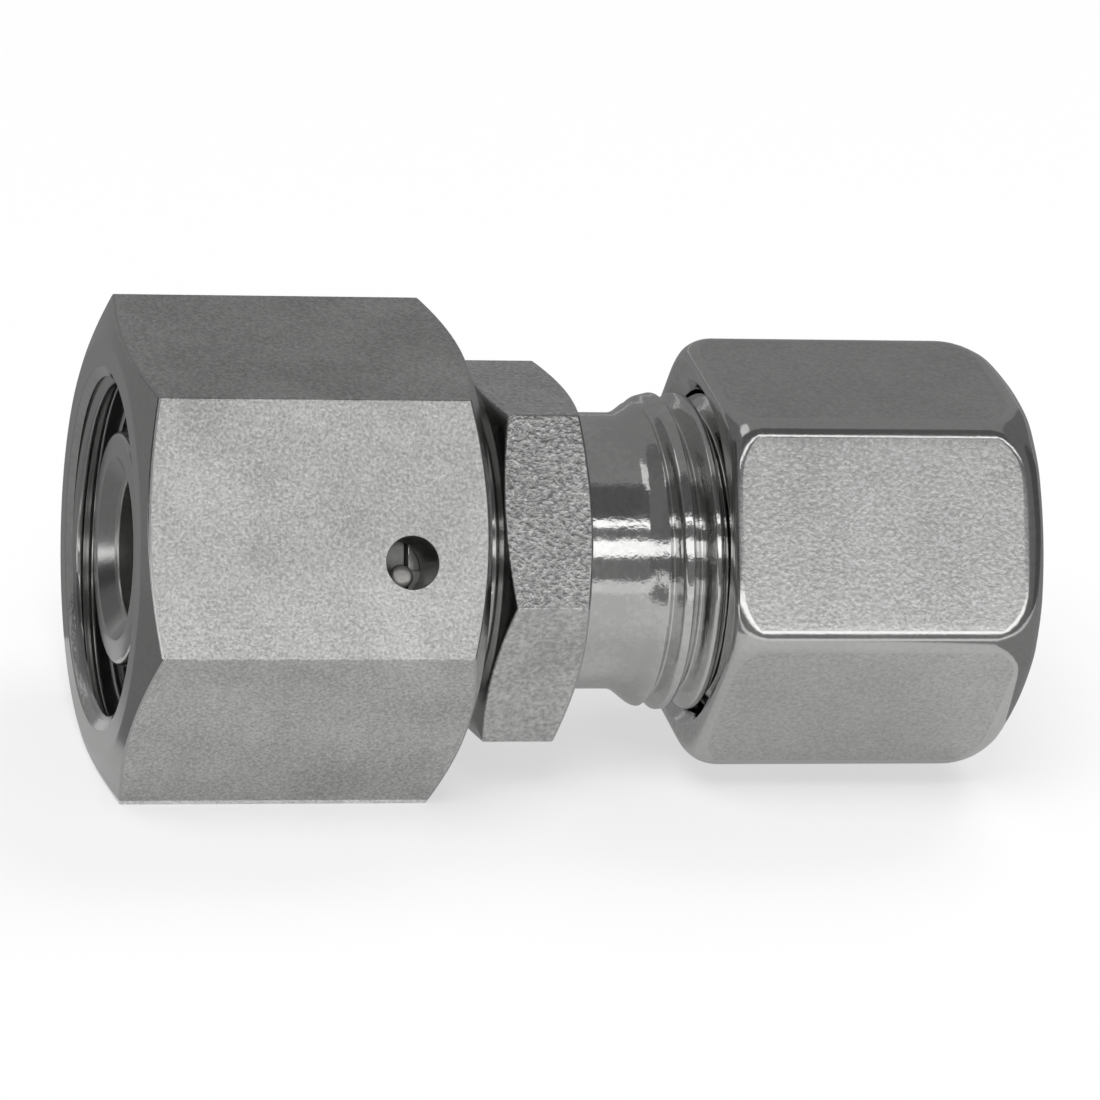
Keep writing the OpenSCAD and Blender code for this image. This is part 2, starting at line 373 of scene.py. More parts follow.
def skin_mesh(name: str, bm: bmesh.types.BMesh) -> bpy.types.Mesh:
    """Turns a closed skin's faces outward and makes a mesh of it.

    Args:
        name: name of the mesh.
        bm: the skin, which is freed.

    Returns:
        The mesh.
    """
    bmesh.ops.recalc_face_normals(bm, faces=bm.faces)
    mesh = bpy.data.meshes.new(name)
    bm.to_mesh(mesh)
    bm.free()
    return mesh


def bridge(bm: bmesh.types.BMesh, rings: Sequence[list[bmesh.types.BMVert]]) -> None:
    """Adds the faces between rings of points.

    Args:
        bm: the skin that they belong to.
        rings: the rings in order, with as many points each, or a single one for a tip.
    """
    for one, two in zip(rings, rings[1:]):
        for k in range(max(len(one), len(two))):
            corners = (one[k % len(one)], one[(k + 1) % len(one)],
                       two[(k + 1) % len(two)], two[k % len(two)])
            bm.faces.new(list(dict.fromkeys(corners)))


def place(name: str, data: bpy.types.ID) -> bpy.types.Object:
    """Adds an object to the scene.

    Args:
        name: name of the object.
        data: its mesh, lamp or camera.

    Returns:
        The object.
    """
    obj = bpy.data.objects.new(name, data)
    bpy.context.scene.collection.objects.link(obj)
    return obj


def turned_mesh(name: str, columns: Sequence[float], section: Section,
                sharp: float = 34.0) -> bpy.types.Mesh:
    """Makes the closed skin of a piece whose section may change round the axis.

    Args:
        name: name of the mesh.
        columns: angles of the columns, from 0 to a full turn, in radians.
        section: gives the closed outline at an angle, always with as many rows.
        sharp: edges sharper than this are shaded hard, degrees.

    Returns:
        The mesh, welded at the seam and at the ends of threads.
    """
    bm = bmesh.new()
    grid, finishes = [], []
    for angle in columns:
        rows = section(angle)
        finishes.append([row[2] for row in rows])
        grid.append([bm.verts.new(seat(x, r, angle)) for x, r, _ in rows])
    for i, (left, right) in enumerate(zip(grid, grid[1:])):
        for j in range(len(left)):
            k = (j + 1) % len(left)
            face = bm.faces.new((left[j], left[k], right[k], right[j]))
            # between two columns that differ, the lower number is the one of the flat
            face.material_index = min(finishes[i][j], finishes[i + 1][j])
    bmesh.ops.remove_doubles(bm, verts=bm.verts, dist=WELD)
    bmesh.ops.dissolve_degenerate(bm, edges=bm.edges, dist=SLIVER)
    return finish_mesh(skin_mesh(name, bm), sharp)


def swept_mesh(name: str, path: Sequence[Vector], radius: float, around: int = 28,
               sharp: float = 50.0) -> bpy.types.Mesh:
    """Makes a round wire along a path in the shared frame, with rounded-off ends.

    Args:
        name: name of the mesh.
        path: points of the middle line, in metres.
        radius: half the thickness of the wire, in metres.
        around: number of points round the wire.
        sharp: edges sharper than this are shaded hard, degrees.

    Returns:
        The mesh.
    """
    bm = bmesh.new()
    rings = []
    side = (path[1] - path[0]).cross(Vector((1, 0, 0))).normalized()
    stations = [(path[0], path[1] - path[0], s, -d) for s, d in reversed(WIRE_CAP)]
    stations += [(p, path[min(i + 1, len(path) - 1)] - path[max(i - 1, 0)], 1.0, 0.0)
                 for i, p in enumerate(path)]
    stations += [(path[-1], path[-1] - path[-2], s, d) for s, d in WIRE_CAP]
    for point, ahead, size, out in stations:
        ahead = ahead.normalized()
        side = (side - ahead * side.dot(ahead)).normalized()
        up = ahead.cross(side)
        centre = point + ahead * (out * radius * CAP_DEPTH)
        spokes = [side * math.cos(t) + up * math.sin(t) for t in turn_steps(around)[:-1]]
        rings.append([bm.verts.new(centre + spoke * radius * size) for spoke in spokes])
    bridge(bm, rings)
    bm.faces.new(rings[0])
    bm.faces.new(list(reversed(rings[-1])))
    return finish_mesh(skin_mesh(name, bm), sharp)


def cut(mesh: bpy.types.Mesh, tool: bpy.types.Mesh) -> bpy.types.Mesh:
    """Cuts one mesh out of another.

    Args:
        mesh: what is cut.
        tool: the room that is taken out.

    Returns:
        A new mesh, with the tool's finish where the tool has cut.
    """
    target, cutter = place("cut_target", mesh), place("cut_tool", tool)
    step = target.modifiers.new("cut", "BOOLEAN")
    step.operation, step.solver, step.object = "DIFFERENCE", "EXACT", cutter
    bpy.context.view_layer.update()
    done = target.evaluated_get(bpy.context.evaluated_depsgraph_get())
    result = bpy.data.meshes.new_from_object(done)
    for obj in (target, cutter):
        bpy.data.objects.remove(obj)
    return finish_mesh(result)


# Finishes

def linear(hex_code: str) -> tuple[float, float, float, float]:
    """Turns a written sRGB colour into a linear one.

    Args:
        hex_code: the colour as it is written, such as "c8c8c6".

    Returns:
        Red, green, blue and an alpha of 1.
    """
    parts = [int(hex_code[i:i + 2], 16) / 255 for i in (0, 2, 4)]
    r, g, b = (c / 12.92 if c <= 0.04045 else ((c + 0.055) / 1.055) ** 2.4 for c in parts)
    return (r, g, b, 1.0)


def add_node(tree: bpy.types.NodeTree, kind: str, settings: dict | None = None,
             links: dict | None = None, **attributes: object) -> bpy.types.Node:
    """Adds a node, sets its sockets and attributes and links what feeds it.

    Args:
        tree: the node tree.
        kind: type name of the node.
        settings: constant by input name or number.
        links: output socket by input name or number.
        attributes: attributes of the node itself.

    Returns:
        The node.
    """
    node = tree.nodes.new(kind)
    for key, value in attributes.items():
        setattr(node, key, value)
    for key, value in (settings or {}).items():
        node.inputs[key].default_value = value
    for key, output in (links or {}).items():
        tree.links.new(output, node.inputs[key])
    return node


def empty_tree(block: bpy.types.Material | bpy.types.World) -> bpy.types.NodeTree:
    """Gives a material or a world a node tree.

    Args:
        block: the material or world.

    Returns:
        The tree, with nothing in it.
    """
    block.use_nodes = True
    block.node_tree.nodes.clear()
    return block.node_tree


@dataclass(frozen=True)
class SteelFinish:
    """A bare or plated steel surface.

    Args:
        name: name of the material.
        colour: sRGB colour of its reflection.
        roughness: spread of its gloss.
        grain: size of the pits or crystals, mm.
        grain_depth: their depth, mm.
        rings: spacing of the tool's turning marks, mm; 0 for none.
        ring_depth: depth of those marks, mm.
        mottle: how much the gloss changes from place to place.
        speckle: how much the colour changes from crystal to crystal.
        cloud: how much of that change is in broad patches as well.
        patch: size of those patches, mm.
    """

    name: str
    colour: str
    roughness: float
    grain: float
    grain_depth: float
    rings: float = 0.0
    ring_depth: float = 0.0
    mottle: float = 0.05
    speckle: float = 0.1
    cloud: float = 0.35
    patch: float = 4.0

    def material(self) -> bpy.types.Material:
        """Makes the material, with every pattern sized in millimetres on the part.

        Returns:
            The material.
        """
        mat = bpy.data.materials.new(self.name)
        tree = empty_tree(mat)
        spot = add_node(tree, "ShaderNodeTexCoord").outputs["Object"]
        fine = add_node(tree, "ShaderNodeTexNoise",
                        {"Scale": 1 / (self.grain * MM), "Detail": 3.0, "Roughness": 0.6},
                        {"Vector": spot})
        # broad patches, left by handling and by the plating bath
        broad = add_node(tree, "ShaderNodeTexNoise",
                         {"Scale": 1 / (self.patch * MM), "Detail": 2.0}, {"Vector": spot})
        gloss = add_node(tree, "ShaderNodeMapRange",
                         {"To Min": self.roughness - self.mottle,
                          "To Max": self.roughness + self.mottle},
                         {"Value": broad.outputs["Fac"]})
        base = linear(self.colour)
        dark = tuple(c * (1 - self.speckle) for c in base[:3]) + (1.0,)
        light = tuple(min(c * (1 + self.speckle), 1.0) for c in base[:3]) + (1.0,)
        clouded = add_node(tree, "ShaderNodeMath", {1: self.cloud},
                           {0: broad.outputs["Fac"], 2: fine.outputs["Fac"]},
                           operation="MULTIPLY_ADD")
        contrast = add_node(tree, "ShaderNodeMapRange",
                            {"From Min": 0.3 + self.cloud / 2, "From Max": 0.7 + self.cloud / 2},
                            {"Value": clouded.outputs[0]})
        tint = add_node(tree, "ShaderNodeMix", {6: dark, 7: light},
                        {0: contrast.outputs[0]}, data_type="RGBA")
        relief = add_node(tree, "ShaderNodeBump",
                          {"Strength": 1.0, "Distance": self.grain_depth * MM},
                          {"Height": fine.outputs["Fac"]})
        if self.rings:
            relief = self.turning_marks(tree, spot, relief)
        shader = add_node(tree, "ShaderNodeBsdfPrincipled", {"Metallic": 1.0},
                          {"Base Color": tint.outputs[2], "Roughness": gloss.outputs[0],
                           "Normal": relief.outputs["Normal"]})
        add_node(tree, "ShaderNodeOutputMaterial", links={"Surface": shader.outputs["BSDF"]})
        return mat

    def turning_marks(self, tree: bpy.types.NodeTree, spot: bpy.types.NodeSocket,
                      under: bpy.types.Node) -> bpy.types.Node:
        """Adds rings round the axis, by station and by radius, over the grain.

        Args:
            tree: the node tree.
            spot: socket with the place on the part, metres.
            under: the relief that the rings lie on.

        Returns:
            The node with the joined relief.
        """
        parts = add_node(tree, "ShaderNodeSeparateXYZ", links={0: spot})
        high = add_node(tree, "ShaderNodeMath", {1: AXIS_HEIGHT * MM},
                        {0: parts.outputs["Z"]}, operation="SUBTRACT")
        flat = add_node(tree, "ShaderNodeCombineXYZ",
                        links={"X": parts.outputs["Y"], "Y": high.outputs[0]})
        radius = add_node(tree, "ShaderNodeVectorMath", links={0: flat.outputs[0]},
                          operation="LENGTH")
        along = add_node(tree, "ShaderNodeCombineXYZ",
                         links={"X": parts.outputs["X"], "Y": radius.outputs["Value"]})
        marks = add_node(tree, "ShaderNodeTexNoise",
                         {"Scale": 1 / (self.rings * MM), "Detail": 2.0},
                         {"Vector": along.outputs[0]})
        return add_node(tree, "ShaderNodeBump",
                        {"Strength": 1.0, "Distance": self.ring_depth * MM},
                        {"Height": marks.outputs["Fac"], "Normal": under.outputs["Normal"]})


@dataclass(frozen=True)
class RubberFinish:
    """A smooth black moulded rubber.

    Args:
        name: name of the material.
        colour: its sRGB colour.
        roughness: spread of its gloss.
        mottle: how much the gloss changes from place to place.
        patch: size of the patches in which it changes, mm.
    """

    name: str
    colour: str
    roughness: float
    mottle: float = 0.1
    patch: float = 0.5

    def material(self) -> bpy.types.Material:
        """Makes the material: dark, with a faint bloom that softens its gloss.

        Returns:
            The material.
        """
        mat = bpy.data.materials.new(self.name)
        tree = empty_tree(mat)
        spot = add_node(tree, "ShaderNodeTexCoord").outputs["Object"]
        bloom = add_node(tree, "ShaderNodeTexNoise", {"Scale": 1 / (self.patch * MM)},
                         {"Vector": spot})
        gloss = add_node(tree, "ShaderNodeMapRange",
                         {"To Min": self.roughness - self.mottle,
                          "To Max": self.roughness + self.mottle},
                         {"Value": bloom.outputs["Fac"]})
        shader = add_node(tree, "ShaderNodeBsdfPrincipled", {"Base Color": linear(self.colour)},
                          {"Roughness": gloss.outputs[0]})
        add_node(tree, "ShaderNodeOutputMaterial", links={"Surface": shader.outputs["BSDF"]})
        return mat


# satin: sandy relief that breaks the lamps up on the flats that face them, and stays
# even on the others
DRAWN_BAR = SteelFinish("drawn_bar_steel_satin", "cacac9", 0.28, 0.16, 0.012, mottle=0.005,
                        speckle=0.3)
# coarser crystals, so the small hexagon glitters more than the big nut
COARSE_BAR = SteelFinish("drawn_bar_steel_speckled", "cccccb", 0.21, 0.24, 0.034, speckle=0.3)
# bright and smooth, with faint rings, so the lamps are thin lines along it
TURNED = SteelFinish("turned_steel_bright", "d2d2d1", 0.1, 0.32, 0.009, rings=0.25,
                     ring_depth=0.004, mottle=0.04, speckle=0.08, cloud=1.6)
# the faces that the tool left duller, such as end chamfers
FACED = SteelFinish("faced_steel", "bdbdbc", 0.2, 0.3, 0.002, rings=0.22, ring_depth=0.003,
                    speckle=0.04)
# the drilled passage: duller, so light that falls into it shows as one soft line
BORED = SteelFinish("bored_steel_dull", "cacac8", 0.3, 0.3, 0.006, rings=0.3, ring_depth=0.004,
                    speckle=0.08)
# painted shade: a darker colour for the shade inside the nut, with a duller gloss, on the drilled
# hole and on the shank beside the wire
DULL_AND_SHADED = SteelFinish("dull_steel_painted_shade", "b0b0ae", 0.42, 0.25, 0.004, speckle=0.1)
# tumbled in a barrel before plating: its flats keep a mixed grain
TUMBLED = SteelFinish("tumbled_plated_steel", "c7c7c6", 0.24, 0.2, 0.014, speckle=0.16)
# and the barrel polishes its edges, which mirror the lamps as thin lines
WORN_EDGE = SteelFinish("tumbled_edge_steel", "cfcfce", 0.13, 0.3, 0.004, speckle=0.05)
# oiled and hardened ring, a shade darker than the body
HARD_RING = SteelFinish("hardened_ring_steel", "b0b0ae", 0.25, 0.3, 0.003, rings=0.2,
                        ring_depth=0.002)
# drawn spring wire, dark from its tempering
SPRING = SteelFinish("drawn_spring_wire", "acaba8", 0.32, 0.2, 0.003)
# moulded rubber, nearly black and matt
NITRILE = RubberFinish("black_nitrile_rubber", "1b1b1c", 0.5)


# Pieces

@dataclass
class Piece:
    """What every piece of the coupling shares.

    Args:
        name: name of the piece.
        node: CAD node that it stands for.
        body: CAD body that it rides on.
        slot: the record's material slot; not used.
        finishes: its finishes, in the order its faces number them.
    """

    name: str = ""
    node: str = ""
    body: str = ""
    slot: Slot = Slot.BODY
    finishes: tuple = ()

    def box(self) -> tuple[float, float]:
        """Returns the first and last station of the CAD node, in mm."""
        low, high = node_box(self.node)
        return low.x / MM, high.x / MM

    def mesh(self) -> bpy.types.Mesh:
        """Makes the piece's mesh; each kind of piece has its own."""
        raise NotImplementedError

    def build(self) -> bpy.types.Object:
        """Builds the piece, dresses it and ties it to its body.

        Returns:
            The piece's object.
        """
        mesh = self.mesh()
        obj = place(self.name, mesh)
        self.dress(obj)
        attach(obj, self.body)
        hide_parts(self.node)
        LOG.info("%s: %d faces, on %s", self.name, len(mesh.polygons), self.body)
        return obj

    def dress(self, obj: bpy.types.Object) -> None:
        """Gives the piece its finishes and even shading on its flats.

        Args:
            obj: the piece's object.
        """
        paint(obj.data, self.finishes)
        even = obj.modifiers.new("even_shading", "WEIGHTED_NORMAL")
        even.keep_sharp, even.weight = True, 80


@lru_cache(maxsize=None)
def shared_material(finish: SteelFinish | RubberFinish) -> bpy.types.Material:
    """Returns a finish's material, made once and used by all of its pieces."""
    return finish.material()


def paint(mesh: bpy.types.Mesh, finishes: Sequence[SteelFinish | RubberFinish]) -> None:
    """Gives a mesh its materials and keeps the numbers that its faces have for them.

    Args:
        mesh: the mesh.
        finishes: its finishes, in the order its faces number them.
    """
    numbers = [face.material_index for face in mesh.polygons]
    mesh.materials.clear()
    for finish in finishes:
        mesh.materials.append(shared_material(finish))
    mesh.polygons.foreach_set("material_index", numbers)
    mesh.update()


@dataclass
class SwivelNut(Piece):
    """The large nut with the inside thread and the hole for its wire."""

    name: str = "swivel_nut_shell"
    node: str = "swivel_nut"
    body: str = "swivel"
    slot: Slot = Slot.SWIVEL
    finishes: tuple = (DRAWN_BAR, FACED, TURNED, DULL_AND_SHADED)
    hexagon: HexShape = HexShape(22.0, 0.09)
    face_r: float = 10.3
    front_slope: float = 19.0
    rear_slope: float = 25.0
    edge_round: float = 0.09
    worn_edge: float = 0.13
    mouth_len: float = 0.5
    mouth_margin: float = 0.06
    thread_d: float = 18.0
    thread_start: float = 0.3
    thread_len: float = 8.8
    first_crest: float = 1.1
    undercut_len: float = 1.6
    shoulder_len: float = 0.9
    bore_r: float = 7.2
    rear_chamfer: float = 0.5
    wire_pos: float = 13.3
    wire_seat_r: float = 7.78
    wire_seat_width: float = 1.4
    hole_d: float = 2.6
    hole_depth: float = 4.0
    # how much wider the hole is, by depth under the flat
    hole_flare: tuple = ((0.0, 0.05), (0.012, 0.02), (0.03, 0.005), (0.06, -0.01))
    hole_drop: float = 1.6
    hole_sides: int = 64
    # how far the drill stands out of the flat
    hole_clear: float = 1.0

    def thread(self) -> ThreadShape:
        """Shapes the inside thread, which runs from the mouth to the undercut.

        Returns:
            The thread.
        """
        x0, _ = self.box()
        depth = INSIDE_DEPTH * PITCH
        return ThreadShape(self.thread_d / 2 - depth, depth, PITCH, x0 + self.thread_start,
                           x0 + self.thread_len, x0 + self.first_crest, ThreadSide.INSIDE)

    def section(self, angle: float) -> list[Row]:
        """Draws the closed outline at an angle.

        Args:
            angle: the angle about the axis, radians.

        Returns:
            The rows, always the same number of them.
        """
        x0, x1 = self.box()
        across = self.hexagon.radius(angle)
        front = x0 + (across - self.face_r) * math.tan(math.radians(self.front_slope))
        rear = x1 - (across - self.face_r) * math.tan(math.radians(self.rear_slope))
        e = self.edge_round
        thread = self.thread()
        crest, root = thread.crest_r, self.thread_d / 2
        undercut = x0 + self.thread_len + self.undercut_len
        wire = x0 + self.wire_pos
        w = self.wire_seat_width / 2
        wide = root + self.mouth_margin

        def mouth(x: float) -> float:
            """Returns the radius of the countersink at a station."""
            return wide - (x - x0) * (wide - crest) / self.mouth_len

        outside = rounded([
            Corner(thread.start, mouth(thread.start), finish=TURN),
            Corner(x0, wide, 0.06, 0.06, FACE),
            Corner(x0, self.face_r, 0.12, 0.12, FACE),
            Corner(front, across, self.worn_edge, self.worn_edge, FACE),
            # the flat's own finish starts just past the worn edge
            Corner(front + self.worn_edge * 1.1, across, finish=BAR),
            Corner(rear, across, e, e, FACE), Corner(x1, self.face_r, 0.12, 0.12, FACE),
            Corner(x1, self.bore_r + self.rear_chamfer, 0.05, 0.05, FACE),
            Corner(x1 - self.rear_chamfer, self.bore_r, 0.05, 0.05, TURN),
            Corner(wire + w, self.bore_r, finish=TURN),
            Corner(wire + w, self.wire_seat_r, finish=TURN),
            Corner(wire - w, self.wire_seat_r, finish=TURN),
            Corner(wire - w, self.bore_r, finish=TURN),
            Corner(undercut + self.shoulder_len, self.bore_r, 0.1, 0.1, TURN),
            Corner(undercut, crest, 0.05, 0.05, TURN), Corner(undercut, root, 0.15, 0.15, TURN),
            Corner(thread.end, root, finish=TURN)])
        inside = thread.rows(angle, mouth, FACE)
        return outside + list(reversed(inside))

    def mesh(self) -> bpy.types.Mesh:
        """Makes the shell of the nut and cuts the hole for the wire into its front flat."""
        shell = turned_mesh(self.name, self.hexagon.columns(), self.section)
        paint(shell, self.finishes)
        return cut(shell, self.hole_tool())

    def hole_tool(self) -> bpy.types.Mesh:
        """Makes the drill for the hole, flared a little where it meets the flat.

        Returns:
            The closed drill, with the hole's finish all over it.
        """
        x0, _ = self.box()
        r = self.hole_d / 2
        flat = self.hexagon.across_flats / 2
        steps = [(0.0, flat - self.hole_depth), (r, flat - self.hole_depth)]
        steps += [(r + wider, flat - deep) for wider, deep in self.hole_flare]
        steps += [(steps[-1][0], flat + self.hole_clear), (0.0, flat + self.hole_clear)]
        out, along, down = flat_frame(FRONT_FLAT)
        middle = along * (x0 + self.wire_pos) + down * self.hole_drop
        bm = bmesh.new()
        rings = []
        for size, height in steps:
            centre = middle + out * height + Vector((0, 0, AXIS_HEIGHT))
            turns = turn_steps(self.hole_sides)[:-1] if size else [0.0]
            spokes = [along * math.cos(t) + down * math.sin(t) for t in turns]
            rings.append([bm.verts.new((centre + spoke * size) * MM) for spoke in spokes])
        bridge(bm, rings)
        tool = skin_mesh("wire_hole_drill", bm)
        # the hole's walls get the darker paint that stands for the shade inside the nut
        for face in tool.polygons:
            face.material_index = self.finishes.index(DULL_AND_SHADED)
        paint(tool, self.finishes)
        return tool


def flat_frame(elevation: float) -> tuple[Vector, Vector, Vector]:
    """Works out the directions of a front flat.

    Args:
        elevation: how far it faces up, degrees.

    Returns:
        The directions out of it, along it and down it.
    """
    e = math.radians(elevation)
    return (Vector((0, -math.cos(e), math.sin(e))), Vector((1, 0, 0)),
            Vector((0, -math.sin(e), -math.cos(e))))


@dataclass
class RetainingWire(Piece):
    """The round wire that locks the swivel nut, with its end bent into the hole."""

    name: str = "spring_wire"
    node: str = "retaining_wire"
    body: str = "swivel"
    slot: Slot = Slot.WIRE
    finishes: tuple = (SPRING,)
    ring_r: float = 7.08
    thickness: float = 1.2
    # share of that thickness that is drawn, so that the wire stays in its node's box
    drawn: float = 0.995
    drop: float = 2.2
    lean: float = 0.35
    sunk: float = 1.1
    arc: float = 318.0
    bend: float = 0.9
    end_steps: int = 4
    bend_steps: int = 8
    ring_steps: int = 96

    def mesh(self) -> bpy.types.Mesh:
        """Sweeps the wire: its straight end, then a tight bend, then the ring.

        Returns:
            The wire's mesh.
        """
        out, along, down = flat_frame(FRONT_FLAT)
        start = math.asin(self.drop / self.ring_r)
        reach = self.bend / self.ring_r
        foot = math.cos(start) * self.ring_r
        tip = SwivelNut.hexagon.across_flats / 2 - self.sunk
        path = []
        for k in range(self.end_steps + 1):
            t = k / self.end_steps
            path.append(out * (tip - (tip - foot - self.bend) * t) + down * self.drop
                        - along * (self.lean * (1 - t)))
        last = path[-1]
        corner = out * foot + down * self.drop

        def on_ring(a: float) -> Vector:
            """Returns the point of the ring at an angle in radians below the flat's middle."""
            return (out * math.cos(a) + down * math.sin(a)) * self.ring_r

        onto = on_ring(start + reach)
        for k in range(1, self.bend_steps):
            t = k / self.bend_steps
            path.append((last * (1 - t) + corner * t) * (1 - t)
                        + (corner * (1 - t) + onto * t) * t)
        for k in range(self.ring_steps + 1):
            path.append(on_ring(start + reach + math.radians(self.arc) * k / self.ring_steps))
        shift = Vector((middle_station(self.node), 0, AXIS_HEIGHT))
        return swept_mesh(self.name, [(p + shift) * MM for p in path],
                          self.thickness / 2 * MM * self.drawn)


@dataclass
class FittingBody(Piece):
    """The body: cone end and shank, middle hexagon, neck, outside thread and bores."""

    name: str = "coupling_body"
    node: str = "body"
    body: str = "fitting_body"
    slot: Slot = Slot.BODY
    finishes: tuple = (COARSE_BAR, FACED, TURNED, BORED, DULL_AND_SHADED)
    hexagon: HexShape = HexShape(17.0, 0.11, -7.8)
    # gap between the swivel nut and the hexagon
    nut_gap: float = 1.05
    hex_len: float = 4.55
    hex_face_r: float = 8.3
    hex_slope: float = 17.0
    tip_r: float = 5.75
    half_cone: float = 12.0
    shank_r: float = 7.1
    passage_r: float = 3.5
    passage_mouth_r: float = 4.55
    passage_mouth_len: float = 0.8
    passage_mouth_soft: float = 0.12
    seal_pos: float = 2.3
    seal_width: float = 1.9
    seal_floor_r: float = 4.9
    wire_groove_r: float = 6.45
    wire_groove_width: float = 1.4
    neck_r: float = 6.95
    neck_len: float = 3.15
    neck_soft: float = 0.3
    thread_r: float = 8.0
    thread_lead: float = 0.3
    thread_stop: float = 0.05
    # from the hexagon to a crest at the top
    first_crest: float = 4.85
    # from the neck's end to where the tool starts to sink, and to where it is fully in
    thread_sinks: tuple = (-1.6, 2.4)
    runout_len: float = 1.1
    runout_depth: float = 0.85
    runout_slope: float = 0.25
    runout_soft: float = 0.1
    end_chamfer_len: float = 0.7
    end_chamfer_depth: float = 0.9
    socket_r: float = 5.05
    socket_mouth_r: float = 6.15
    socket_len: float = 7.0

    def stations(self) -> tuple[float, float, float]:
        """Works out the stations that the others are counted from.

        Returns:
            The stations of the tip, the end and the right face of the hexagon, mm.
        """
        x0, x1 = self.box()
        _, nut_high = node_box("swivel_nut")
        return x0, x1, nut_high.x / MM + self.nut_gap + self.hex_len

    def limit(self, x: float) -> float:
        """Works out the blank that the outside thread is cut into.

        Args:
            x: the station, mm.

        Returns:
            The radius of the blank there, mm.
        """
        _, end, hex_x1 = self.stations()
        start = hex_x1 + self.neck_len
        steep = self.neck_r + (x - start) * self.runout_depth / self.runout_len
        gentle = self.neck_r + self.runout_depth + (
            x - start - self.runout_len) * self.runout_slope
        tail = self.thread_r - self.end_chamfer_depth * (
            x - end + self.end_chamfer_len) / self.end_chamfer_len
        cone = -blend(-steep, -gentle, self.runout_soft)
        return blend(min(cone, self.thread_r, tail), self.neck_r, self.neck_soft)

    def section(self, angle: float) -> list[Row]:
        """Draws the closed outline at an angle.

        Args:
            angle: the angle about the axis, radians.

        Returns:
            The rows, always the same number of them.
        """
        tip, end, hex_x1 = self.stations()
        hex_x0 = hex_x1 - self.hex_len
        across = self.hexagon.radius(angle)
        rise = (across - self.hex_face_r) * math.tan(math.radians(self.hex_slope))
        slope = math.tan(math.radians(self.half_cone))
        cone_end = tip + (self.shank_r - self.tip_r) / slope
        seal0 = tip + self.seal_pos - self.seal_width / 2
        seal1 = seal0 + self.seal_width
        wire = middle_station("retaining_wire")
        w = self.wire_groove_width / 2
        neck_end = hex_x1 + self.neck_len
        thread = ThreadShape(self.thread_r, OUTSIDE_DEPTH * PITCH, PITCH,
                             neck_end - self.thread_lead, end - self.thread_stop,
                             hex_x1 + self.first_crest, ThreadSide.OUTSIDE,
                             tuple(neck_end + v for v in self.thread_sinks))
        socket1 = end - (self.socket_mouth_r - self.socket_r) / slope
        socket0 = socket1 - self.socket_len
        soft = self.passage_mouth_soft
        flare = (self.passage_mouth_r - self.passage_r) / self.passage_mouth_len
        left = rounded([
            Corner(tip, self.passage_mouth_r, finish=FACE),
            Corner(tip, self.tip_r, 0.18, 0.18, TURN),
            Corner(seal0, self.tip_r + (seal0 - tip) * slope, 0.08, 0.08, TURN),
            Corner(seal0, self.seal_floor_r, 0.1, 0.1, TURN),
            Corner(seal1, self.seal_floor_r, 0.1, 0.1, TURN),
            Corner(seal1, self.tip_r + (seal1 - tip) * slope, 0.08, 0.08, TURN),
            # from the cone to past the wire groove the shank is painted darker: painted shade
            # inside the nut, seen through the wire's hole
            Corner(cone_end, self.shank_r, 0.3, 0.3, DRILL),
            Corner(wire - w, self.shank_r, 0.05, 0.05, DRILL),
            Corner(wire - w, self.wire_groove_r, 0.1, 0.1, DRILL),
            Corner(wire + w, self.wire_groove_r, 0.1, 0.1, DRILL),
            Corner(wire + w, self.shank_r, 0.05, 0.05, TURN),
            Corner(hex_x0, self.shank_r, 0.15, 0.15, FACE),
            Corner(hex_x0, self.hex_face_r, 0.1, 0.1, FACE),
            Corner(hex_x0 + rise, across, 0.1, 0.1, BAR),
            Corner(hex_x1 - rise, across, 0.1, 0.1, FACE),
            Corner(hex_x1, self.hex_face_r, 0.1, 0.1, FACE),
            Corner(hex_x1, self.neck_r, 0.25, 0.25, TURN),
            Corner(thread.start, self.neck_r, finish=TURN)])
        right = rounded([
            Corner(end, self.thread_r - self.end_chamfer_depth, finish=FACE),
            Corner(end, self.socket_mouth_r, 0.05, 0.05, TURN),
            Corner(socket1, self.socket_r, 0.1, 0.1, TURN),
            Corner(socket0, self.socket_r, 0.05, 0.05, TURN),
            Corner(socket0, self.passage_r, 0.05, 0.05, BORE),
            Corner(tip + self.passage_mouth_len, self.passage_r, 0.1, 0.1, BORE),
            Corner(tip + self.passage_mouth_len - soft, self.passage_r + soft * flare, finish=FACE),
            Corner(tip, self.passage_mouth_r, finish=FACE)])
        return left + thread.rows(angle, self.limit, TURN) + right[:-1]

    def mesh(self) -> bpy.types.Mesh:
        """Makes the whole body as one skin."""
        return turned_mesh(self.name, self.hexagon.columns(), self.section)


@dataclass
class SealRing(Piece):
    """The O-ring in the groove of the cone."""

    name: str = "rubber_seal"
    node: str = "o_ring"
    body: str = "fitting_body"
    slot: Slot = Slot.SEAL
    finishes: tuple = (NITRILE,)
    sides: int = 32

    def mesh(self) -> bpy.types.Mesh:
        """Makes a round cord that fills the node's box.

        Returns:
            The ring's mesh.
        """
        low, high = node_box(self.node)
        cord = (high.x - low.x) / 2 / MM
        x, ring_r = middle_station(self.node), (high.z - low.z) / 2 / MM - cord
        rows = [(x + cord * math.cos(t), ring_r + cord * math.sin(t), 0)
                for t in turn_steps(self.sides)[:-1]]
        return turned_mesh(self.name, turn_steps(ROUND_COLUMNS), lambda _: rows)


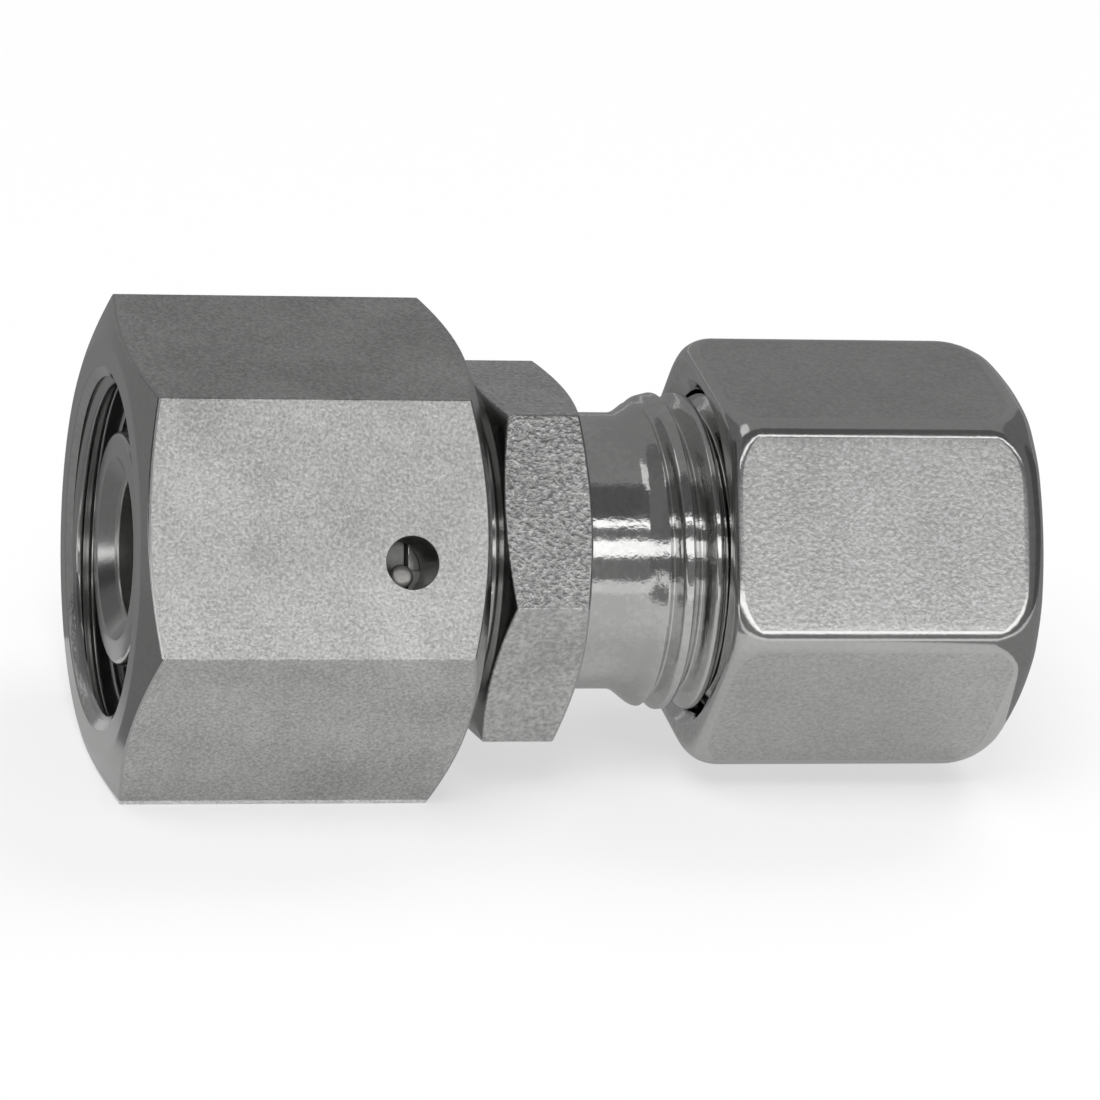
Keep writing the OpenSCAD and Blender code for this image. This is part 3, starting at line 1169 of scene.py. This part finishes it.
@dataclass
class CompressionNut(Piece):
    """The smaller nut over the tube end, with corners worn soft by tumbling."""

    name: str = "compression_nut_shell"
    node: str = "tube_nut"
    body: str = "compression_nut"
    slot: Slot = Slot.TUBE_NUT
    finishes: tuple = (TUMBLED, TURNED, WORN_EDGE)
    hexagon: HexShape = HexShape(19.0, 1.2)
    # length and depth of the rounding at each end, first at the flats, then at the corners
    thread_end: tuple = ((0.45, 0.62), (1.6, 1.08))
    tube_end: tuple = ((1.25, 0.9), (2.9, 2.18))
    # the higher this power, the nearer to the corners the extra wear stays
    wear_power: int = 4
    bore_r: float = 8.12
    sink: float = 0.6
    hole_r: float = 5.15
    hole_len: float = 3.0
    hole_chamfer: float = 0.4

    def worn(self, angle: float, ends: tuple, turned: bool) -> tuple[float, float]:
        """Works out the rounding of an end at an angle.

        Args:
            angle: the angle about the axis, radians.
            ends: length and depth at the flats, then at the corners.
            turned: whether the face at that end is round, not a soft hexagon.

        Returns:
            The length and the depth of the rounding, mm.
        """
        flat, corner = ends
        share = (self.hexagon.from_flat(angle) / HALF_FLAT) ** self.wear_power
        t = (1 - math.cos(math.pi * share)) / 2
        deep = flat[1] + (corner[1] - flat[1]) * t
        if turned:
            deep = flat[1] + self.hexagon.radius(angle) - self.hexagon.across_flats / 2
        return (flat[0] + (corner[0] - flat[0]) * t, deep)

    def section(self, angle: float) -> list[Row]:
        """Draws the closed outline at an angle.

        Args:
            angle: the angle about the axis, radians.

        Returns:
            The rows, always the same number of them.
        """
        x0, x1 = self.box()
        across = self.hexagon.radius(angle)
        long0, deep0 = self.worn(angle, self.thread_end, False)
        long1, deep1 = self.worn(angle, self.tube_end, True)
        hole_x0 = x1 - self.hole_len
        seat_x0 = hole_x0 - (self.bore_r - self.hole_r)
        wide = self.bore_r + self.sink
        soft = self.hexagon.from_flat(angle) >= self.hexagon.soft_from() - 0.01
        outside = self.ends([(x0, across, deep0, long0), (x1, across, deep1, long1)],
                            EDGE if soft else FLAT)
        # the first and the last corner only give the roundings beside them a line to lie on
        inside = rounded([
            Corner(x1, self.hole_r + self.hole_chamfer + 0.3, finish=INNER),
            Corner(x1, self.hole_r + self.hole_chamfer, 0.06, 0.06, INNER),
            Corner(x1 - self.hole_chamfer, self.hole_r, 0.1, 0.1, INNER),
            Corner(hole_x0, self.hole_r, 0.1, 0.1, INNER),
            Corner(seat_x0, self.bore_r, 0.1, 0.1, INNER),
            Corner(x0 + self.sink, self.bore_r, 0.1, 0.1, INNER),
            Corner(x0, wide, 0.03, 0.03, FLAT), Corner(x0, wide + 0.05, finish=FLAT)])
        return outside + inside

    @staticmethod
    def ends(ends: Sequence[tuple[float, float, float, float]], flat: int,
             steps: int = 12) -> list[Row]:
        """Draws the outside from the face at one end to the face at the other.

        Args:
            ends: station, radius, depth and length of the rounding, for both ends.
            flat: number of the finish between the two roundings.
            steps: number of short lines in each rounding.

        Returns:
            The rows.
        """
        (x0, r0, deep0, long0), (x1, r1, deep1, long1) = ends
        turns = [math.pi / 2 * k / steps for k in range(steps + 1)]
        first = [(x0 + long0 * (1 - math.cos(t)), r0 - deep0 * (1 - math.sin(t)), EDGE)
                 for t in turns]
        last = [(x1 - long1 * (1 - math.sin(t)), r1 - deep1 * (1 - math.cos(t)), EDGE)
                for t in turns]
        first[-1] = (*first[-1][:2], flat)
        return first + last

    def mesh(self) -> bpy.types.Mesh:
        """Makes the shell of the nut, with no hard edges on its tumbled outside."""
        return turned_mesh(self.name, self.hexagon.columns(step=2.0), self.section, sharp=62.0)


@dataclass
class CuttingRing(Piece):
    """The hardened ring that bites into the tube."""

    name: str = "hard_cutting_ring"
    node: str = "cutting_ring"
    body: str = "ring"
    slot: Slot = Slot.RING
    finishes: tuple = (HARD_RING,)
    bore_r: float = 5.075
    lip_r: float = 5.327
    neck_r: float = 6.05
    collar_r: float = 6.9
    rear_r: float = 5.6
    reach: float = 3.4
    gap: float = 0.25
    rear_chamfer: float = 0.2
    # stations of the relief groove behind the lip: a rim, the floor's two ends, a rim
    groove: tuple = (0.7, 0.8, 1.1, 1.3)
    groove_depth: float = 0.15

    def mesh(self) -> bpy.types.Mesh:
        """Makes the ring, with a small relief groove behind its cutting lip.

        Returns:
            The ring's mesh.
        """
        x0, x1 = self.box()
        near, start, end, far = (x0 + v for v in self.groove)
        groove_r = self.bore_r + self.groove_depth
        face = x0 + self.reach
        rows = rounded([
            Corner(x0, self.bore_r), Corner(x0, self.lip_r, 0.03, 0.03),
            Corner(face, self.neck_r, 0.05, 0.05),
            Corner(face + self.gap, self.neck_r, 0.05, 0.05),
            Corner(face + self.gap, self.collar_r, 0.1, 0.1),
            Corner(x1 - (self.collar_r - self.rear_r), self.collar_r, 0.2, 0.2),
            Corner(x1, self.rear_r, 0.1, 0.1),
            Corner(x1, self.bore_r + self.rear_chamfer, 0.02, 0.02),
            Corner(x1 - self.rear_chamfer, self.bore_r, 0.05, 0.05),
            Corner(far, self.bore_r, 0.02, 0.02), Corner(end, groove_r, 0.05, 0.05),
            Corner(start, groove_r, 0.05, 0.05), Corner(near, self.bore_r)])
        return turned_mesh(self.name, turn_steps(ROUND_COLUMNS), lambda _: rows)


# Studio

@dataclass(frozen=True)
class Card:
    """A curved card beside the part, seen only in its reflections.

    Args:
        name: name of the card.
        low: where it starts, degrees about the axis from the front horizon over the top.
        high: where it ends.
        level: how bright it is, 1 for white.
        left: station of its left edge, metres.
        right: station of its right edge, metres.
        distance: distance from the axis, metres.
    """

    name: str
    low: float
    high: float
    level: float
    left: float = -0.42
    right: float = 0.42
    distance: float = 0.6


@dataclass(frozen=True)
class Board:
    """A flat board beside the part, seen only in its reflections.

    Args:
        name: name of the board.
        corners: its four corners, metres.
        level: how bright it is, 1 for white.
        own: share of that brightness that no shadow takes away.
    """

    name: str
    corners: tuple
    level: float
    own: float = 1.0


def level_board(name: str, low: tuple, high: tuple, level: float, own: float) -> Board:
    """Lays out a level board just over the floor.

    Args:
        name: name of the board.
        low: its corner with the lower X and Y, metres.
        high: the corner opposite.
        level: how bright it is, 1 for white.
        own: share of that brightness that no shadow takes away.

    Returns:
        The board.
    """
    (x0, y0), (x1, y1), z = low, high, 0.0003
    return Board(name, ((x0, y0, z), (x1, y0, z), (x1, y1, z), (x0, y1, z)), level, own)


def end_board(name: str, x: float, level: float) -> Board:
    """Returns an upright board across the axis at a station in metres."""
    return Board(name, ((x, -0.7, 0.0), (x, 0.7, 0.0), (x, 0.7, 0.8), (x, -0.7, 0.8)), level)


@dataclass
class Studio:
    """White floor and world, soft lamps, and the cards that the steel mirrors."""

    cards: tuple = (
        Card("front_low_card", 0, 18, 0.21),
        Card("front_softbox", 20, 33.5, 1.55, left=-1.2),
        Card("front_gap_card", 33.5, 44.5, 0.17),
        Card("front_strip", 44.5, 49.5, 1.8),
        Card("top_card", 49.5, 81, 0.11),
        Card("back_card", 81, 180, 0.26),
        Card("top_left_lamp", 81, 104, 0.8, -0.45, -0.15, 0.58),
        Card("room_walls", 0, 180, 0.16, -1.25, 1.25, 0.63),
    )
    boards: tuple = (
        level_board("front_table", (-1.2, -0.6), (1.2, -0.06), 0.74, 0.3),
        level_board("near_table", (-0.026, -0.06), (0.027, 0.012), 0.58, 0.45),
        level_board("left_table", (-1.2, -0.06), (-0.026, 0.012), 0.21, 0.8),
        level_board("right_table", (0.027, -0.06), (1.2, 0.012), 0.24, 0.8),
        level_board("back_table", (-1.2, 0.012), (1.2, 0.6), 0.24, 0.7),
        end_board("left_board", -1.24, 0.06),
        end_board("right_board", 1.24, 0.09),
        Board("left_softbox", ((-0.3, 0.05, 0.001), (-0.3, -0.1, 0.001), (-0.3, -0.1, 0.03),
                               (-0.3, 0.05, 0.03)), 1.8),
    )
    # how much of the floor's white is its own and so free of shadow
    floor_share: float = 0.6
    fill: float = 0.35
    lamp_power: float = 6.0
    # the second lamp's power as a share of the first one's
    fill_lamp: float = 0.4

    def build(self) -> None:
        """Builds the world, the floor, the lamps and the cards."""
        self.world()
        self.floor()
        self.lamp("key_lamp", Vector((-0.25, -0.45, 0.8)), 0.5, self.lamp_power)
        self.lamp("fill_lamp", Vector((0.35, 0.3, 0.7)), 0.5, self.lamp_power * self.fill_lamp)
        for card in self.cards:
            self.card(card)
        for board in self.boards:
            self.hang(board.name, board.corners, [(0, 1, 2, 3)], board.level, board.own)

    @staticmethod
    def seen_white(tree: bpy.types.NodeTree) -> bpy.types.NodeSocket:
        """Adds the nodes that tell what is looked at from what only lights.

        Args:
            tree: the node tree.

        Returns:
            A socket that is 1 for what the camera, a gloss or a glass sees.
        """
        path = add_node(tree, "ShaderNodeLightPath")
        either = add_node(tree, "ShaderNodeMath", links={0: path.outputs["Is Camera Ray"],
                                                         1: path.outputs["Is Glossy Ray"]},
                          operation="MAXIMUM")
        return add_node(tree, "ShaderNodeMath", links={0: either.outputs[0],
                                                       1: path.outputs["Is Transmission Ray"]},
                        operation="MAXIMUM").outputs[0]

    def world(self) -> None:
        """Makes a white world to look at that lights the floor only a little."""
        world = bpy.data.worlds.new("white_studio")
        bpy.context.scene.world = world
        tree = empty_tree(world)
        light, look = (
            add_node(tree, "ShaderNodeBackground", {"Color": linear("ffffff"), "Strength": level})
            for level in (self.fill, 1.0))
        mix = add_node(tree, "ShaderNodeMixShader", links={
            0: self.seen_white(tree), 1: light.outputs[0], 2: look.outputs[0]})
        add_node(tree, "ShaderNodeOutputWorld", links={"Surface": mix.outputs[0]})

    def floor(self) -> None:
        """Makes the floor: white board that keeps the part's shadow."""
        mesh = bpy.data.meshes.new("floor")
        mesh.from_pydata([(-3, -3, 0), (3, -3, 0), (3, 3, 0), (-3, 3, 0)], [], [(0, 1, 2, 3)])
        floor = place("floor", mesh)
        mat = bpy.data.materials.new("white_board")
        tree = empty_tree(mat)
        board = add_node(tree, "ShaderNodeBsdfDiffuse", {"Color": linear("f4f4f4")})
        glow = add_node(tree, "ShaderNodeEmission", {"Color": linear("ffffff"), "Strength": 1.0})
        share = add_node(tree, "ShaderNodeMath", {1: self.floor_share},
                         {0: self.seen_white(tree)}, operation="MULTIPLY")
        mix = add_node(tree, "ShaderNodeMixShader", links={
            0: share.outputs[0], 1: board.outputs[0], 2: glow.outputs[0]})
        add_node(tree, "ShaderNodeOutputMaterial", links={"Surface": mix.outputs[0]})
        mesh.materials.append(mat)

    @staticmethod
    def lamp(name: str, spot: Vector, size: float, power: float) -> None:
        """Hangs a soft lamp that points at the part; the cards stand for it in the gloss.

        Args:
            name: name of the lamp.
            spot: where it hangs, metres.
            size: length of its sides, metres.
            power: its power, watts.
        """
        light = bpy.data.lights.new(name, "AREA")
        light.size, light.energy = size, power
        lamp = place(name, light)
        lamp.location = spot
        lamp.rotation_euler = (LAMP_AIM - spot).to_track_quat("-Z", "Y").to_euler()
        lamp.visible_glossy = False

    def card(self, card: Card) -> None:
        """Bends one card about the axis and makes it glow at its level.

        Args:
            card: the card.
        """
        span = card.high - card.low
        steps = max(2, int(span / CARD_STEP))
        turns = [math.radians(card.low + span * k / steps) for k in range(steps + 1)]
        d = card.distance
        points = [(x, -d * math.cos(t), AXIS_HEIGHT * MM + d * math.sin(t))
                  for t in turns for x in (card.left, card.right)]
        faces = [(2 * k, 2 * k + 1, 2 * k + 3, 2 * k + 2) for k in range(steps)]
        self.hang(card.name, points, faces, card.level)

    @staticmethod
    def hang(name: str, points: Sequence, faces: Sequence, level: float,
             own: float = 1.0) -> None:
        """Adds a card or board that only the reflections in the steel can see.

        Args:
            name: name of the card and of its paint.
            points: its corners, metres.
            faces: its faces, as numbers of corners.
            level: how bright it is.
            own: share of that brightness that no shadow takes away.
        """
        mesh = bpy.data.meshes.new(name)
        mesh.from_pydata(points, [], faces)
        obj = place(name, mesh)
        mat = bpy.data.materials.new(name)
        tree = empty_tree(mat)
        paint_level = min(level, BRIGHTEST_PAINT)
        glow = add_node(tree, "ShaderNodeEmission", {"Color": linear("ffffff"), "Strength": level})
        lit = add_node(tree, "ShaderNodeBsdfDiffuse", {"Color": (paint_level,) * 3 + (1.0,)})
        mix = add_node(tree, "ShaderNodeMixShader", {0: own},
                       {1: lit.outputs[0], 2: glow.outputs[0]})
        add_node(tree, "ShaderNodeOutputMaterial", links={"Surface": mix.outputs[0]})
        mesh.materials.append(mat)
        obj.visible_camera = obj.visible_diffuse = obj.visible_shadow = False
        obj.visible_transmission = False


@dataclass(frozen=True)
class CameraView:
    """The camera, fitted to the corners of the three hexagons in the photograph.

    Args:
        azimuth: degrees round the part; 0 looks along +Y.
        elevation: degrees above the horizon.
        roll: degrees that the picture is turned.
        distance: metres from the part.
        target: point that the middle of the picture shows, metres.
        lens: focal length for a 36 mm sensor.
    """

    azimuth: float = -15.85
    elevation: float = 24.15
    roll: float = 6.85
    distance: float = 0.39132
    target: tuple = (-0.00008, 0.0, 0.01101)
    lens: float = 255.03

    def build(self) -> bpy.types.Object:
        """Sets up the camera and makes it the scene's own.

        Returns:
            The camera.
        """
        a, e, r = (math.radians(v) for v in (self.azimuth, self.elevation, self.roll))
        back = Vector((math.sin(a) * math.cos(e), -math.cos(a) * math.cos(e), math.sin(e)))
        right = (-back).cross(Vector((0, 0, 1))).normalized()
        up = right.cross(-back)
        across = right * math.cos(r) + up * math.sin(r)
        above = up * math.cos(r) - right * math.sin(r)
        data = bpy.data.cameras.new("camera")
        data.lens, data.sensor_width = self.lens, 36.0
        data.clip_start, data.clip_end = 0.01, 20.0
        camera = place("camera", data)
        turn = Matrix((across, above, back)).transposed().to_4x4()
        spot = Vector(self.target) + back * self.distance
        camera.matrix_world = Matrix.Translation(spot) @ turn
        bpy.context.scene.camera = camera
        return camera


# The scene

@dataclass
class Coupling:
    """The whole coupling."""

    pieces: list[Piece] = field(default_factory=lambda: [
        FittingBody(), SealRing(), SwivelNut(), RetainingWire(), CuttingRing(), CompressionNut()])

    def build(self) -> list[bpy.types.Object]:
        """Builds every piece in its place."""
        return [piece.build() for piece in self.pieces]


def main() -> None:
    """Builds the coupling, the studio and the camera, and logs each piece's face count."""
    logging.basicConfig(level=logging.INFO, format="%(name)s: %(message)s")
    Coupling().build()
    Studio().build()
    CameraView().build()
    bpy.context.scene.view_settings.view_transform = "Standard"
    bpy.context.view_layer.update()


if __name__ == "__main__":
    main()
